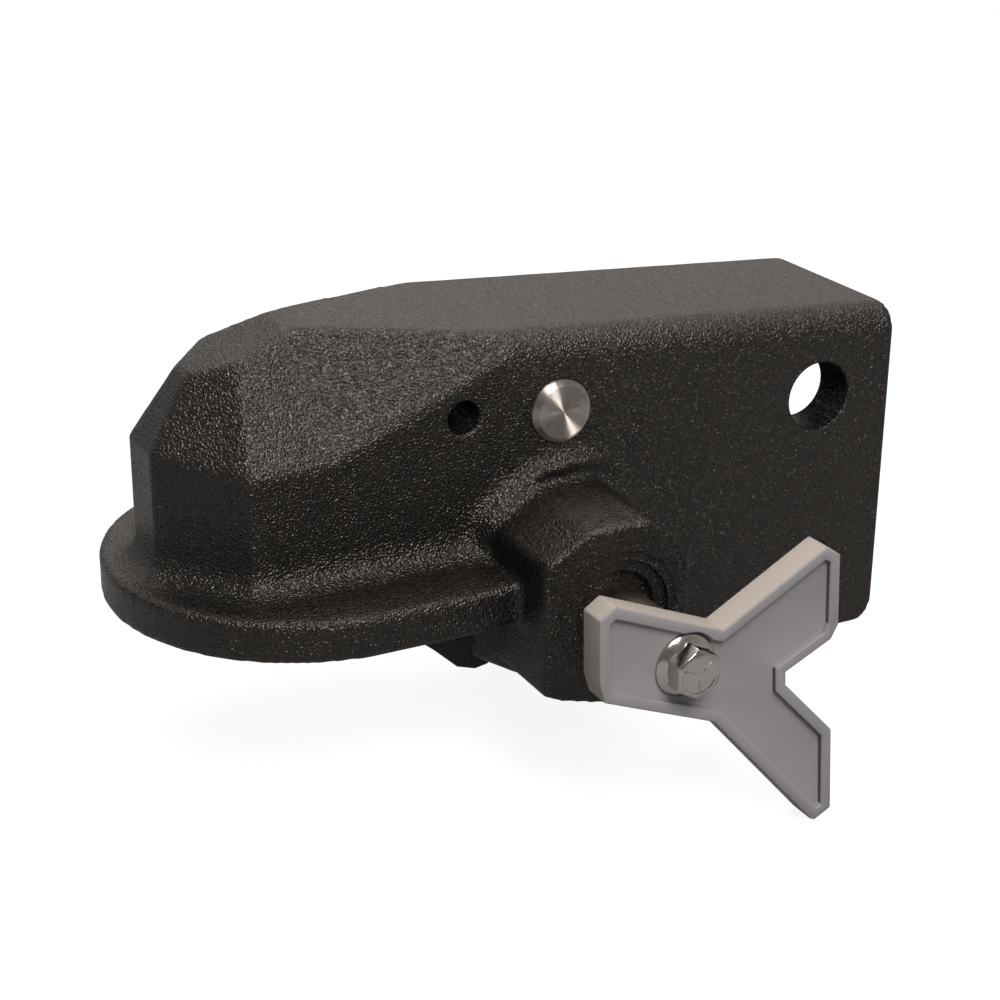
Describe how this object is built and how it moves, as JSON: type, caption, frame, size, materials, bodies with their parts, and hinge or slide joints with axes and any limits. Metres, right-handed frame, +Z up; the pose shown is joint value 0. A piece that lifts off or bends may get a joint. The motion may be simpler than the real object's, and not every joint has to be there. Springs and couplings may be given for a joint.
{
  "type": "trailer coupling head",
  "caption": "Faceted cast trailer coupling head with a round ball socket, swinging ball clamp, spring loaded pull latch with a forked handle, and a bolt-on rear channel.",
  "frame": {"origin": "centre of the towing ball in the socket", "axes": "+X to the rear, towards the trailer; +Z up; the latch handle is on the -Y side"},
  "size_m": [0.2722, 0.1927, 0.1518],
  "materials": {
    "coat": "black textured powder coat",
    "stainless": "turned",
    "clamp_iron": "black powder coat",
    "bronze": "machined",
    "plunger_steel": "turned",
    "dark_steel": "phosphate",
    "spring_steel": "oiled wire",
    "handle_grey": "satin warm grey",
    "zinc": "bright zinc"
  },
  "bodies": {
    "head": {"housing": "coat", "pivot_pin": "stainless", "bore_cap": "coat", "cap_ring": "dark_steel", "plunger_spring": "spring_steel"},
    "clamp": {"ball_clamp": "clamp_iron", "bush_near": "bronze", "bush_far": "bronze"},
    "seat": {"spring_seat": "plunger_steel"},
    "puller": {"latch_plunger": "plunger_steel", "pull_shaft": "stainless", "shaft_pin": "dark_steel", "handle": "handle_grey", "handle_bolt": "zinc"}
  },
  "joints": [
    {"name": "plunger_slide", "type": "slide", "parent": "head", "child": "seat", "axis": [0, -1, 0], "range_m": [0, 0.03], "stiffness_N_per_m": 1200, "springref_m": -0.02, "deforming": ["plunger_spring"]},
    {"name": "handle_turn", "type": "hinge", "parent": "seat", "child": "puller", "pos_m": [0.0735, -0.11, -0.0088], "axis": [0, -1, 0], "continuous": true},
    {"name": "clamp_swing", "type": "hinge", "parent": "head", "child": "clamp", "pos_m": [0.0743, 0, 0.0457], "axis": [0, -1, 0], "range_deg": [0, 8]}
  ],
  "couplings": [
    {"joint": "clamp_swing", "follows": "plunger_slide", "rad_per_m": 4.587}
  ]
}
